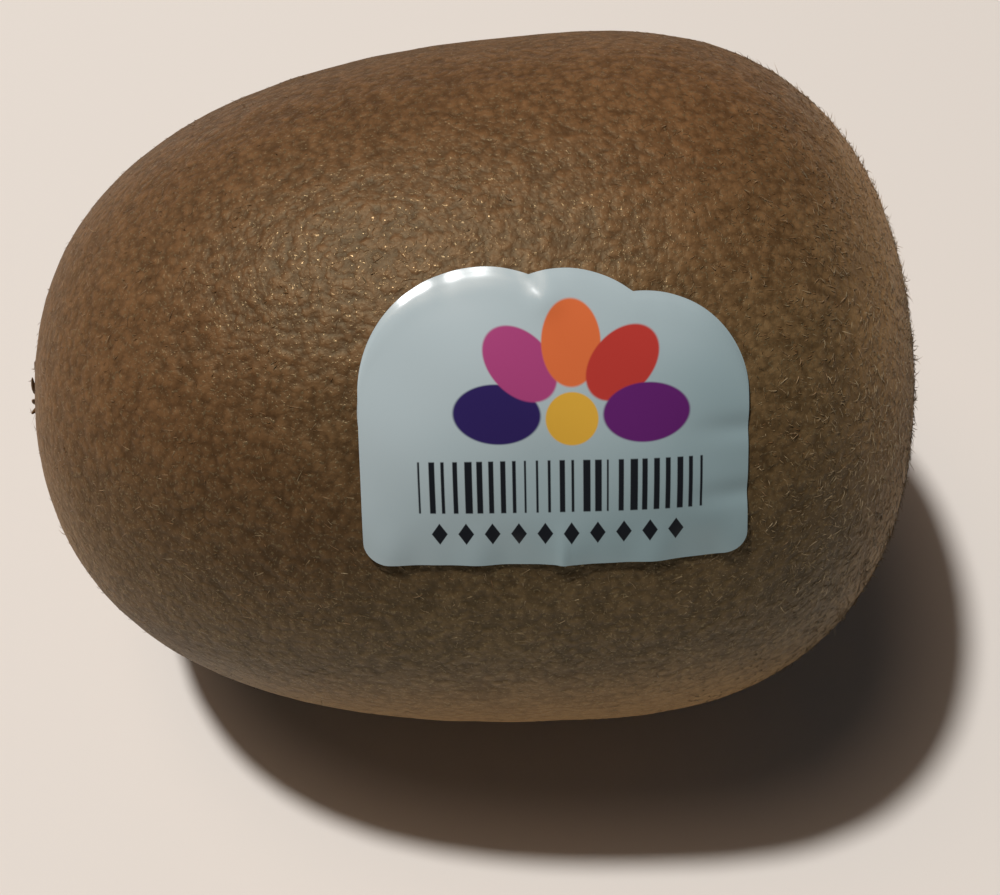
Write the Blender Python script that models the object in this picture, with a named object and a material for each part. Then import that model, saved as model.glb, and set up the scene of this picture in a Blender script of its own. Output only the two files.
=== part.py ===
"""A whole kiwi fruit lying on its side, with its small stuck-on label.

Metres, +Z up. +X points to the stem end, and the label is on the side that faces -Y. The origin lies on
the surface that the fruit rests on, below the middle of the fruit's box. Shapes are first made in the
fruit's own axes, with X along its core and zero at its widest section, and are then laid down.
"""

import math
import random

import bmesh
import bpy
from mathutils import Matrix, Vector

# Flesh: the widest section is nearer the stem end, which is the blunter one
STEM_REACH = 0.0251
BLOSSOM_REACH = 0.0392
HALF_WIDTH = 0.0258
HALF_HEIGHT = 0.0250
STEM_FULLNESS = 2.54  # exponent of the outline: 2 is an ellipse, more is fuller towards the end
BLOSSOM_FULLNESS = 2.46
SWELL_WAVES = (  # unevenness: each slow wave's direction in radians per metre, its phase and its height
    (Vector((95.0, 130.0, -60.0)), 6.2, 0.0032),
    (Vector((-120.0, 70.0, 115.0)), 5.3, 0.0035),
    (Vector((60.0, -150.0, 140.0)), 5.8, 0.0060),
)

# How the fruit lies
STEM_END_RAISED = math.radians(2.6)
STEM_END_TURNED = math.radians(1.8)
FLAT_DEPTH = 0.0004  # how far the underside is pressed flat

# Stem end: a shallow hollow with a low lip round it, and a corky round scar in the hollow
HOLLOW_DEPTH = 0.0011
HOLLOW_RADIUS = 0.0038
LIP_HEIGHT = 0.0003
LIP_RADIUS = 0.0052
LIP_WIDTH = 0.0011
SCAR_HEIGHT = 0.0006
SCAR_RADIUS = 0.0022
SCAR_EDGE = 0.0009

# Blossom end: a shallow dish with a small nub, and the dried styles of the flower in a star on the nub
DISH_DEPTH = 0.0006
DISH_RADIUS = 0.0042
NUB_HEIGHT = 0.0007
NUB_RADIUS = 0.0014
STYLES = 18
STYLE_SIDES = 5
STYLE_ROOT_DEPTH = 0.0012
STYLE_ROOT_SPREAD = 0.0006
STYLE_RADIUS = 0.00040
STYLE_TIP_RADIUS = 0.00015
STYLE_REACH = (0.0024, 0.0042)
STYLE_RISE = (0.0004, 0.0009)
STYLE_BEND = 0.35  # share of its reach at which a style is highest
STYLE_TIP_LEVEL = 0.3  # share of its rise that its tip keeps
STYLE_SPREAD_ERROR = 0.3  # how far a style strays from its even place in the star, in places
SEED = 7

# Mesh fineness
BALL_SUBDIVISIONS = 5
END_REGION = 0.26  # share of the half width round each end that is split finer
END_SPLITS = 2
WELD = 1e-7

# Label: a rounded rectangle below three shallow lobes, each given as along, up and radius
LABEL_LOBES = ((-0.0045, 0.0112, 0.0075), (0.0006, 0.0120, 0.0065), (0.0056, 0.0109, 0.0062))
LABEL_LEFT = LABEL_LOBES[0][0] - LABEL_LOBES[0][2]
LABEL_RIGHT = LABEL_LOBES[-1][0] + LABEL_LOBES[-1][2]
LABEL_CORNER = 0.0015
LABEL_THICKNESS = 0.0002
LABEL_GAP = 0.0003  # between the skin and the label's back
LABEL_ALONG = -0.0013  # its middle, from the widest section
LABEL_ANGLE = math.radians(27.4)  # its lower edge, up round the fruit from the level of the core
LABEL_TILT = math.radians(-2.0)
LABEL_ROUND = 0.0253  # radius that it is wrapped to
LABEL_COLUMNS = 30
LABEL_ROWS = 10

SKIN_COLOR = (0.125, 0.078, 0.040, 1.0)
SKIN_ROUGHNESS = 0.85
LABEL_COLOR = (0.46, 0.54, 0.55, 1.0)
LABEL_ROUGHNESS = 0.40


def clear_scene():
    for old in list(bpy.data.objects):
        bpy.data.objects.remove(old, do_unlink=True)


def material(name, color, roughness):
    made = bpy.data.materials.new(name)
    made.use_nodes = True
    shader = made.node_tree.nodes["Principled BSDF"]
    shader.inputs["Base Color"].default_value = color
    shader.inputs["Roughness"].default_value = roughness
    shader.inputs["Metallic"].default_value = 0.0
    return made


def add_object(name, mesh, finish=None):
    made = bpy.data.objects.new(name, mesh)
    if finish:
        mesh.materials.append(finish)
    bpy.context.scene.collection.objects.link(made)
    return made


def half_form(x):
    """Length and fullness of the half of the fruit that x lies in."""
    return (STEM_REACH, STEM_FULLNESS) if x > 0 else (BLOSSOM_REACH, BLOSSOM_FULLNESS)


def swollen(point):
    """A point of the smooth form, moved in or out with the flesh's gentle unevenness."""
    swell = sum(height * math.sin(wave.dot(point) + phase) for wave, phase, height in SWELL_WAVES)
    return point * (1 + swell)


def skin_towards(direction):
    """Point of the skin in a direction of the unit ball."""
    reach, fullness = half_form(direction.x)
    across = math.hypot(direction.y, direction.z)
    size = (abs(direction.x) ** fullness + across ** fullness) ** (1 / fullness)
    scaled = Vector((direction.x * reach, direction.y * HALF_WIDTH, direction.z * HALF_HEIGHT))
    return swollen(scaled / size)


def skin_at(x, angle):
    """Point of the skin at a place along the core and an angle up from its -Y side, and the normal there."""
    reach, fullness = half_form(x)
    share = abs(x / reach)
    round_share = (1 - share ** fullness) ** (1 / fullness)
    y = -HALF_WIDTH * round_share * math.cos(angle)
    z = HALF_HEIGHT * round_share * math.sin(angle)
    slope = round_share ** (fullness - 2)
    normal = Vector((
        math.copysign(share ** (fullness - 1), x) / reach,
        slope * y / HALF_WIDTH ** 2,
        slope * z / HALF_HEIGHT ** 2,
    ))
    return swollen(Vector((x, y, z))), normal.normalized()


def smooth_step(value):
    value = min(max(value, 0.0), 1.0)
    return value * value * (3 - 2 * value)


def stem_relief(distance):
    """Height of the stem end's relief at a distance from the core's axis."""
    hollow = -HOLLOW_DEPTH * math.exp(-((distance / HOLLOW_RADIUS) ** 4))
    lip = LIP_HEIGHT * math.exp(-(((distance - LIP_RADIUS) / LIP_WIDTH) ** 2))
    scar = SCAR_HEIGHT * smooth_step((SCAR_RADIUS + SCAR_EDGE - distance) / SCAR_EDGE)
    return hollow + lip + scar


def blossom_relief(distance):
    """Height of the blossom end's relief at a distance from the core's axis."""
    dish = -DISH_DEPTH * math.exp(-((distance / DISH_RADIUS) ** 4))
    nub = NUB_HEIGHT * math.exp(-((distance / NUB_RADIUS) ** 2))
    return dish + nub


def flesh_mesh():
    """The whole fruit as one closed mesh in its own axes, finer round its two ends."""
    bm = bmesh.new()
    to_core = Matrix.Rotation(math.radians(90), 4, "Y")
    bmesh.ops.create_icosphere(bm, subdivisions=BALL_SUBDIVISIONS, radius=1.0, matrix=to_core)
    for split in range(END_SPLITS):
        edges = [e for e in bm.edges if all(math.hypot(v.co.y, v.co.z) < END_REGION for v in e.verts)]
        bmesh.ops.subdivide_edges(bm, edges=edges, cuts=1, use_grid_fill=True)
    for vert in bm.verts:
        vert.co = skin_towards(vert.co.normalized())
        distance = math.hypot(vert.co.y, vert.co.z)
        if vert.co.x > 0:
            vert.co.x += stem_relief(distance)
        else:
            vert.co.x -= blossom_relief(distance)
    bmesh.ops.recalc_face_normals(bm, faces=bm.faces)
    mesh = bpy.data.meshes.new("fruit")
    bm.to_mesh(mesh)
    bm.free()
    return mesh


def tapered_rod(route, radii):
    """A closed mesh that follows a few points, with a radius at each."""
    bm = bmesh.new()
    rings = []
    for i, (middle, radius) in enumerate(zip(route, radii)):
        along = (route[min(i + 1, len(route) - 1)] - route[max(i - 1, 0)]).normalized()
        side = along.cross(Vector((1.0, 0.0, 0.0))).normalized()
        other = along.cross(side)
        turns = [2 * math.pi * k / STYLE_SIDES for k in range(STYLE_SIDES)]
        ring = [middle + radius * (side * math.cos(turn) + other * math.sin(turn)) for turn in turns]
        rings.append([bm.verts.new(point) for point in ring])
    for ring, following in zip(rings, rings[1:]):
        for k in range(STYLE_SIDES):
            after = (k + 1) % STYLE_SIDES
            bm.faces.new((ring[k], ring[after], following[after], following[k]))
    bm.faces.new(rings[0])
    bm.faces.new(rings[-1])
    bmesh.ops.recalc_face_normals(bm, faces=bm.faces)
    mesh = bpy.data.meshes.new("style")
    bm.to_mesh(mesh)
    bm.free()
    return mesh


def add_dried_styles(collection):
    """The flower's dried styles: short bent rods that spread from the nub like a star."""
    draw = random.Random(SEED)
    middle_radius = (STYLE_RADIUS + STYLE_TIP_RADIUS) / 2
    for number in range(STYLES):
        place = number + draw.uniform(-STYLE_SPREAD_ERROR, STYLE_SPREAD_ERROR)
        turn = 2 * math.pi * place / STYLES
        outward = Vector((0.0, math.cos(turn), math.sin(turn)))
        length = draw.uniform(*STYLE_REACH)
        rise = draw.uniform(*STYLE_RISE)
        stations = (
            (-STYLE_ROOT_DEPTH, 0.0),
            (rise, STYLE_BEND * length),
            (rise * STYLE_TIP_LEVEL, length),
        )
        root, bend, tip = (
            Vector((-BLOSSOM_REACH - level, 0.0, 0.0)) + outward * (STYLE_ROOT_SPREAD + away)
            for level, away in stations
        )
        rod = tapered_rod((root, bend, tip), (STYLE_RADIUS, middle_radius, STYLE_TIP_RADIUS))
        style = bpy.data.objects.new(f"style_{number}", rod)
        collection.objects.link(style)


def fuse(target, collection):
    """Joins a collection's objects to the target by one Boolean, and removes them."""
    union = target.modifiers.new("fuse", "BOOLEAN")
    union.operation = "UNION"
    union.solver = "EXACT"
    union.operand_type = "COLLECTION"
    union.collection = collection
    graph = bpy.context.evaluated_depsgraph_get()
    fused = bpy.data.meshes.new_from_object(target.evaluated_get(graph))
    target.modifiers.remove(union)
    target.data = fused
    for rod in list(collection.objects):
        bpy.data.objects.remove(rod, do_unlink=True)
    bpy.data.collections.remove(collection)


def press_flat(mesh, height):
    """Cuts the mesh off at a height and closes it with one flat face."""
    bm = bmesh.new()
    bm.from_mesh(mesh)
    parts = bm.verts[:] + bm.edges[:] + bm.faces[:]
    cut = bmesh.ops.bisect_plane(
        bm, geom=parts, dist=WELD, plane_co=(0, 0, height), plane_no=(0, 0, 1), clear_inner=True
    )
    rim = [part for part in cut["geom_cut"] if isinstance(part, bmesh.types.BMEdge)]
    bmesh.ops.contextual_create(bm, geom=rim)
    bmesh.ops.dissolve_degenerate(bm, dist=WELD, edges=bm.edges)
    bmesh.ops.recalc_face_normals(bm, faces=bm.faces)
    bm.to_mesh(mesh)
    bm.free()


def middle_of(mesh):
    """Middle of the mesh's box in X and Y."""
    xs = [vert.co.x for vert in mesh.vertices]
    ys = [vert.co.y for vert in mesh.vertices]
    return (min(xs) + max(xs)) / 2, (min(ys) + max(ys)) / 2


def add_fruit():
    """Makes the fruit, lays it down, and returns how shapes in its own axes are laid down with it."""
    fruit = add_object("fruit", flesh_mesh())
    remains = bpy.data.collections.new("remains")
    bpy.context.scene.collection.children.link(remains)
    add_dried_styles(remains)
    fuse(fruit, remains)
    turned = Matrix.Rotation(STEM_END_TURNED, 4, "Z") @ Matrix.Rotation(-STEM_END_RAISED, 4, "Y")
    fruit.data.transform(turned)
    lowest = min(vert.co.z for vert in fruit.data.vertices)
    press_flat(fruit.data, lowest + FLAT_DEPTH)
    x, y = middle_of(fruit.data)
    moved = Matrix.Translation((-x, -y, -lowest - FLAT_DEPTH))
    fruit.data.transform(moved)
    fruit.data.shade_smooth()
    fruit.data.materials.clear()
    fruit.data.materials.append(material("skin", SKIN_COLOR, SKIN_ROUGHNESS))
    return moved @ turned


def label_top(along):
    """Height of the label's upper edge: the highest of its lobes."""
    tops = [up + math.sqrt(max(radius ** 2 - (along - at) ** 2, 0.0))
            for at, up, radius in LABEL_LOBES if abs(along - at) <= radius + WELD]
    return max(tops)


def label_bottom(along):
    """Height of the label's lower edge, which rounds up into the sides."""
    inset = LABEL_CORNER - min(along - LABEL_LEFT, LABEL_RIGHT - along)
    if inset <= 0:
        return 0.0
    return LABEL_CORNER - math.sqrt(max(LABEL_CORNER ** 2 - inset ** 2, 0.0))


def label_point(along, up, lift):
    """A place on the flat label, carried onto the fruit and lifted off the skin."""
    x = LABEL_ALONG + along * math.cos(LABEL_TILT) - up * math.sin(LABEL_TILT)
    arc = along * math.sin(LABEL_TILT) + up * math.cos(LABEL_TILT)
    point, normal = skin_at(x, LABEL_ANGLE + arc / LABEL_ROUND)
    return point + normal * lift


def add_label(laid_down):
    """The label: a thin closed sheet whose columns crowd towards its two sides."""
    bm = bmesh.new()
    middle = (LABEL_LEFT + LABEL_RIGHT) / 2
    half = (LABEL_RIGHT - LABEL_LEFT) / 2
    faces = {}
    for side, lift in enumerate((LABEL_GAP, LABEL_GAP + LABEL_THICKNESS)):
        for column in range(LABEL_COLUMNS + 1):
            along = middle + half * math.sin(math.pi * (column / LABEL_COLUMNS - 0.5))
            low, high = label_bottom(along), label_top(along)
            for row in range(LABEL_ROWS + 1):
                up = low + (high - low) * row / LABEL_ROWS
                faces[side, column, row] = bm.verts.new(label_point(along, up, lift))
    for column in range(LABEL_COLUMNS):
        for row in range(LABEL_ROWS):
            corners = ((column, row), (column + 1, row), (column + 1, row + 1), (column, row + 1))
            bm.faces.new([faces[(1, *corner)] for corner in corners])
            bm.faces.new([faces[(0, *corner)] for corner in reversed(corners)])
    outline = [(column, 0) for column in range(LABEL_COLUMNS)]
    outline += [(LABEL_COLUMNS, row) for row in range(LABEL_ROWS)]
    outline += [(column, LABEL_ROWS) for column in range(LABEL_COLUMNS, 0, -1)]
    outline += [(0, row) for row in range(LABEL_ROWS, 0, -1)]
    for here, after in zip(outline, outline[1:] + outline[:1]):
        bm.faces.new((faces[(0, *here)], faces[(0, *after)], faces[(1, *after)], faces[(1, *here)]))
    bmesh.ops.recalc_face_normals(bm, faces=bm.faces)
    mesh = bpy.data.meshes.new("label")
    bm.to_mesh(mesh)
    bm.free()
    mesh.transform(laid_down)
    mesh.shade_smooth()
    mesh.set_sharp_from_angle(angle=math.radians(40))
    add_object("label", mesh, material("label", LABEL_COLOR, LABEL_ROUGHNESS))


def main():
    clear_scene()
    laid_down = add_fruit()
    add_label(laid_down)


main()
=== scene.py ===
"""Dresses a whole kiwi fruit that lies on its side: its skin, fuzz, dried flower and small stuck-on label.

Metres, +Z up. +X points to the stem end, and the label is on the side that faces -Y.
"""

import math

import bpy
import numpy as np
from bpy.props import FloatProperty, FloatVectorProperty, IntProperty, PointerProperty
from mathutils import Euler, Matrix, Vector, noise


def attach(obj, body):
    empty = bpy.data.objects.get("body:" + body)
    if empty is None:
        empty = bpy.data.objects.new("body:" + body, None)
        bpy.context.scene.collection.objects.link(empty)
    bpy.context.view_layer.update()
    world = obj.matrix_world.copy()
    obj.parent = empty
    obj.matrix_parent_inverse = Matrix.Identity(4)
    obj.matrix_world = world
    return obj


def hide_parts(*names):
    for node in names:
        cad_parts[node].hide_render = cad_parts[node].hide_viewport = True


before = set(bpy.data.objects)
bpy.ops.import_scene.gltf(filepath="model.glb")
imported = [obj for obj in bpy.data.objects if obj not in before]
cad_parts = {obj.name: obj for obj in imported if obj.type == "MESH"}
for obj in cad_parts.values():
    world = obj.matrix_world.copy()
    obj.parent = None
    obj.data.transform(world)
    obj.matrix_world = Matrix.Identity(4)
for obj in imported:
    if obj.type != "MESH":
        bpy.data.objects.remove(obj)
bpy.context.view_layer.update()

bl_info = {
    "name": "Kiwi fruit",
    "version": (1, 0, 0),
    "blender": (4, 5, 0),
    "location": "3D View > Sidebar > Kiwi",
    "description": "Skin, fuzz, dried flower and label of a whole kiwi fruit",
    "category": "Object",
}

TINY = 1e-7
NUDGE = 1e-3  # keeps two directions from being the same

# The fruit's core: where its widest section lies, and how it is turned and raised from +X
CORE = Matrix.LocRotScale(
    Vector((0.00730, -0.00006, 0.02495)), Euler((0.0, math.radians(-2.6), math.radians(1.8))), None
)
STEM_REACH = 0.0251
BLOSSOM_REACH = 0.0392
HALF_WIDTH = 0.0258
HALF_HEIGHT = 0.0250
STEM_FULLNESS = 2.54
BLOSSOM_FULLNESS = 2.46
SWELL_WAVES = (  # each slow wave's direction in radians per metre, its phase and its height
    ((95.0, 130.0, -60.0), 6.2, 0.0032),
    ((-120.0, 70.0, 115.0), 5.3, 0.0035),
    ((60.0, -150.0, 140.0), 5.8, 0.0060),
)
SCAR_RADIUS = 0.0030
REMAINS_RADIUS = 0.0034
REMAINS_DEPTH = 0.0022

# Where the skin turns olive: below a tilted plane that also dips towards the stem end, in shares of the size
OLIVE_TILT = (0.83, 0.56)
OLIVE_STEM = 15.0
OLIVE_LOW = -0.75
OLIVE_HIGH = 0.55
OLIVE_DRIFT = 0.8

# Where painted light and shade, scar and flower begin and end: along the core, across it, or by tilted
# height
PAINTED_LIGHT_STEM_SIDE = (0.016, 0.0245)
PAINTED_SHADE_BLOSSOM_SIDE = (-0.016, 0.012)
PAINTED_LIGHT_BLOSSOM_RIM = (-0.036, -0.022)
PAINTED_SHADE_FAR_SIDE = (0.006, 0.020)
PAINTED_LIGHT_BELLY = (-1.0, -0.72)
SHADE_BAND_BELOW = (-0.9, -0.45)
SHADE_BAND_ABOVE = (-0.45, 0.1)
SCAR_DEPTH = (0.0225, 0.0235)
REMAINS_FADE = 0.0006

# The skin's pattern: each layer's share in the tone, and its height in metres
PEBBLE_TONE, PEBBLE_RISE = 0.31, 0.00007
CLUMP_TONE, CLUMP_RISE = 0.25, 0.00010
GRIT_TONE, GRIT_RISE = 0.16, 0.00002
MOTTLE_TONE, MOTTLE_RISE = 0.15, 0.0002
LUMP_TONE, LUMP_RISE = 0.13, 0.000035
FLECK_SIZE, FLECK_RISE = 0.00019, 0.000015
TONE_RANGE = (0.298, 0.738)
FLECK_RANGE = (0.57, 0.74)
LUMP_RANGE = (0.18, 0.80)

# Sizes in grains of the grit, clumps and lumps, how far the lumps are stirred, and patches in mottles
GRIT_SIZE = 0.4
CLUMP_SIZE = 2.2
LUMP_SIZE = 1.3
LUMP_STIR = 0.9
PATCH_SIZE = 4.5

# Where the fuzz changes: each change's start and span, along the core, across it or by tilted height
SHAGGY = (-0.002, 0.024)
BRISTLY = (0.008, 0.016)  # measured the other way along the core, towards the blossom end
# Painted light and shade on the short hairs: a darker far side, a paler underside and stem end
PAINTED_SHADE_FAR = (0.004, 0.014)
PAINTED_LIGHT_UNDER = (-1.0, 0.3)
PAINTED_LIGHT_STEM = (0.014, 0.010)

# How far the hairs' roots and tips keep from the label's edge
ROOT_GAP = 0.00005
TIP_GAP = 0.0001

# The label, flat: a rounded rectangle below three shallow lobes, each given as along, up and radius
LABEL_LOBES = ((-0.0045, 0.0112, 0.0075), (0.0006, 0.0120, 0.0065), (0.0056, 0.0109, 0.0062))
LABEL_LEFT = LABEL_LOBES[0][0] - LABEL_LOBES[0][2]
LABEL_RIGHT = LABEL_LOBES[-1][0] + LABEL_LOBES[-1][2]
LABEL_HEIGHT = LABEL_LOBES[0][1] + LABEL_LOBES[0][2]
LABEL_CORNER = 0.0015
LABEL_ALONG = -0.0013
LABEL_ANGLE = math.radians(27.4)
LABEL_TILT = math.radians(-2.0)
LABEL_ROUND = 0.0253

# The label's print, in millimetres on the flat label
FLOWER_MIDDLE = (0.9, 9.4)
PETAL_LENGTH = 5.3
PETAL_BREADTH = 3.6
PETAL_START = 1.9
CENTRE_WIDTH = 3.2
BAR_PITCH = 0.72
BARS_ALONG = (-8.5, 9.2)
BARS_UP = (3.6, 6.9)
MARK_PITCH = 1.62
MARKS_ALONG = (-8.1, 8.1)
MARKS_UP = 2.2
PRINT_SOFTNESS = 0.05

BAKE_MAP = "OFBake"
BAKE_WIDTH = 0.004
BAKE_MARGIN = 0.02


class SkinLooks(bpy.types.PropertyGroup):
    """Colours and relief of the skin."""

    dark: FloatVectorProperty(
        name="Dark", description="Colour between the pebbles", subtype="COLOR", size=3,
        default=(0.080, 0.035, 0.012), min=0, max=1)
    light: FloatVectorProperty(
        name="Light", description="Colour of the pebbles", subtype="COLOR", size=3,
        default=(0.208, 0.100, 0.039), min=0, max=1)
    olive_dark: FloatVectorProperty(
        name="Dark olive", description="Colour between the pebbles lower down", subtype="COLOR", size=3,
        default=(0.064, 0.039, 0.015), min=0, max=1)
    olive_light: FloatVectorProperty(
        name="Light olive", description="Colour of the pebbles lower down", subtype="COLOR", size=3,
        default=(0.210, 0.138, 0.061), min=0, max=1)
    glint: FloatVectorProperty(
        name="Glint", description="Colour of the shining flecks", subtype="COLOR", size=3,
        default=(0.42, 0.35, 0.195), min=0, max=1)
    # Painted light: the pale colour blended in underneath, at the stem end and at the blossom rim
    painted_light_underside: FloatVectorProperty(
        name="Underside", description="Colour of the pale underside and stem side", subtype="COLOR", size=3,
        default=(0.370, 0.200, 0.075), min=0, max=1)
    cork: FloatVectorProperty(
        name="Cork", description="Colour of the stem scar", subtype="COLOR", size=3,
        default=(0.150, 0.088, 0.045), min=0, max=1)
    remains: FloatVectorProperty(
        name="Remains", description="Colour of the dried flower", subtype="COLOR", size=3,
        default=(0.120, 0.070, 0.036), min=0, max=1)
    grain: FloatProperty(
        name="Grain", description="Size of the pebbles", unit="LENGTH",
        default=0.00050, min=0.0001, max=0.002)
    mottling: FloatProperty(
        name="Mottling", description="Size of the soft patches", unit="LENGTH",
        default=0.0030, min=0.001, max=0.02)
    relief: FloatProperty(
        name="Relief", description="Height of the skin's unevenness", unit="LENGTH",
        default=0.00012, min=0, max=0.001)


class FuzzLooks(bpy.types.PropertyGroup):
    """Number, size and colours of the hairs."""

    short_count: IntProperty(
        name="Short hairs", description="Number of short hairs", default=72000, min=100, max=120000)
    strand_count: IntProperty(
        name="Strands", description="Number of flat curved strands", default=12000, min=100, max=30000)
    long_count: IntProperty(
        name="Long hairs", description="Number of long hairs", default=8000, min=100, max=10000)
    short_length: FloatProperty(
        name="Short length", description="Length of the short hairs", unit="LENGTH",
        default=0.00050, min=0.0001, max=0.003)
    strand_length: FloatProperty(
        name="Strand length", description="Length of the flat strands", unit="LENGTH",
        default=0.0011, min=0.0002, max=0.005)
    long_length: FloatProperty(
        name="Long length", description="Length of the long hairs", unit="LENGTH",
        default=0.0010, min=0.0002, max=0.005)
    width: FloatProperty(
        name="Width", description="Width of a hair at its thickest", unit="LENGTH",
        default=0.00006, min=0.00001, max=0.0005)
    dark: FloatVectorProperty(
        name="Dark", description="Colour of the darkest hairs", subtype="COLOR", size=3,
        default=(0.140, 0.064, 0.021), min=0, max=1)
    light: FloatVectorProperty(
        name="Light", description="Colour of the palest hairs", subtype="COLOR", size=3,
        default=(0.440, 0.300, 0.172), min=0, max=1)
    olive_dark: FloatVectorProperty(
        name="Dark olive", description="Colour of the darkest hairs lower down", subtype="COLOR", size=3,
        default=(0.130, 0.080, 0.033), min=0, max=1)
    olive_light: FloatVectorProperty(
        name="Light olive", description="Colour of the palest hairs lower down", subtype="COLOR", size=3,
        default=(0.450, 0.350, 0.215), min=0, max=1)


class LabelLooks(bpy.types.PropertyGroup):
    """Film and print of the label."""

    film: FloatVectorProperty(
        name="Film", description="Colour of the bare film", subtype="COLOR", size=3,
        default=(0.460, 0.548, 0.575), min=0, max=1)
    # Painted shade: the darker film colour towards the lower right
    painted_shade_film: FloatVectorProperty(
        name="Pressed film", description="Colour where the skin shows through", subtype="COLOR", size=3,
        default=(0.285, 0.390, 0.415), min=0, max=1)
    ink: FloatVectorProperty(
        name="Ink", description="Colour of the bars", subtype="COLOR", size=3,
        default=(0.012, 0.014, 0.018), min=0, max=1)
    magenta: FloatVectorProperty(
        name="Magenta", description="First colour of the flower", subtype="COLOR", size=3,
        default=(0.40, 0.060, 0.20), min=0, max=1)
    orange: FloatVectorProperty(
        name="Orange", description="Second colour of the flower", subtype="COLOR", size=3,
        default=(0.70, 0.160, 0.050), min=0, max=1)
    purple: FloatVectorProperty(
        name="Purple", description="Third colour of the flower", subtype="COLOR", size=3,
        default=(0.120, 0.018, 0.150), min=0, max=1)
    indigo: FloatVectorProperty(
        name="Indigo", description="Fourth colour of the flower", subtype="COLOR", size=3,
        default=(0.030, 0.018, 0.110), min=0, max=1)
    red: FloatVectorProperty(
        name="Red", description="Fifth colour of the flower", subtype="COLOR", size=3,
        default=(0.48, 0.045, 0.035), min=0, max=1)
    gold: FloatVectorProperty(
        name="Gold", description="Colour of the flower's middle", subtype="COLOR", size=3,
        default=(0.70, 0.40, 0.050), min=0, max=1)
    lift: FloatProperty(
        name="Lift", description="Height of the film over the skin", unit="LENGTH",
        default=0.00022, min=0.0001, max=0.001)
    film_depth: FloatProperty(
        name="Film depth", description="Thickness of the film", unit="LENGTH",
        default=0.00010, min=0.00002, max=0.0005)
    ripple: FloatProperty(
        name="Ripple", description="Height of the film's ripples", unit="LENGTH",
        default=0.00005, min=0, max=0.0005)


class StageLooks(bpy.types.PropertyGroup):
    """Floor, lamp and camera."""

    floor: FloatVectorProperty(
        name="Floor", description="Colour of the floor", subtype="COLOR", size=3,
        default=(0.785, 0.735, 0.68), min=0, max=1)
    room: FloatVectorProperty(
        name="Room", description="Colour of the dim light from all sides", subtype="COLOR", size=3,
        default=(0.023, 0.027, 0.032), min=0, max=1)
    lamp_way: FloatVectorProperty(
        name="Lamp direction", description="Direction from the fruit to the lamp", size=3,
        subtype="DIRECTION", default=(-0.313, 0.120, 1.0))
    lamp_distance: FloatProperty(
        name="Lamp distance", description="How far the lamp is from the fruit", unit="LENGTH", default=1.5)
    lamp_width: FloatProperty(
        name="Lamp width", description="Diameter of the lamp", unit="LENGTH", default=0.115)
    lamp_power: FloatProperty(
        name="Lamp power", description="Power of the lamp", unit="POWER", default=18.8)
    glow_width: FloatProperty(
        name="Glow width", description="Diameter of the lamp's soft glow", unit="LENGTH", default=0.80)
    glow_power: FloatProperty(
        name="Glow power", description="Power of the lamp's soft glow", unit="POWER", default=3.9)
    glow: FloatVectorProperty(
        name="Glow", description="Colour of the lamp's soft glow", subtype="COLOR", size=3,
        default=(1.0, 0.71, 0.50), min=0, max=1)
    camera_spot: FloatVectorProperty(
        name="Camera place", description="Where the camera stands", size=3, subtype="TRANSLATION",
        default=(0.00257, -0.07142, 0.12077))
    camera_drop: FloatProperty(
        name="Camera drop", description="How far the camera looks down from level", unit="ROTATION",
        default=math.radians(55.9))
    lens: FloatProperty(
        name="Lens", description="Focal length on a 36 mm film", unit="CAMERA", default=56.3)


LOOKS = {"kiwi_skin": SkinLooks, "kiwi_fuzz": FuzzLooks, "kiwi_label": LabelLooks, "kiwi_stage": StageLooks}


class Wire:
    """A value in a material. Calculating with it adds Math nodes."""

    def __init__(self, finish, socket):
        self.finish = finish
        self.socket = socket

    def __add__(self, other):
        return self.finish.math("ADD", self, other)

    def __radd__(self, other):
        return self.finish.math("ADD", other, self)

    def __sub__(self, other):
        return self.finish.math("SUBTRACT", self, other)

    def __rsub__(self, other):
        return self.finish.math("SUBTRACT", other, self)

    def __mul__(self, other):
        return self.finish.math("MULTIPLY", self, other)

    def __rmul__(self, other):
        return self.finish.math("MULTIPLY", other, self)

    def __truediv__(self, other):
        return self.finish.math("DIVIDE", self, other)

    def __pow__(self, other):
        return self.finish.math("POWER", self, other)

    def __abs__(self):
        return self.finish.math("ABSOLUTE", self)


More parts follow.
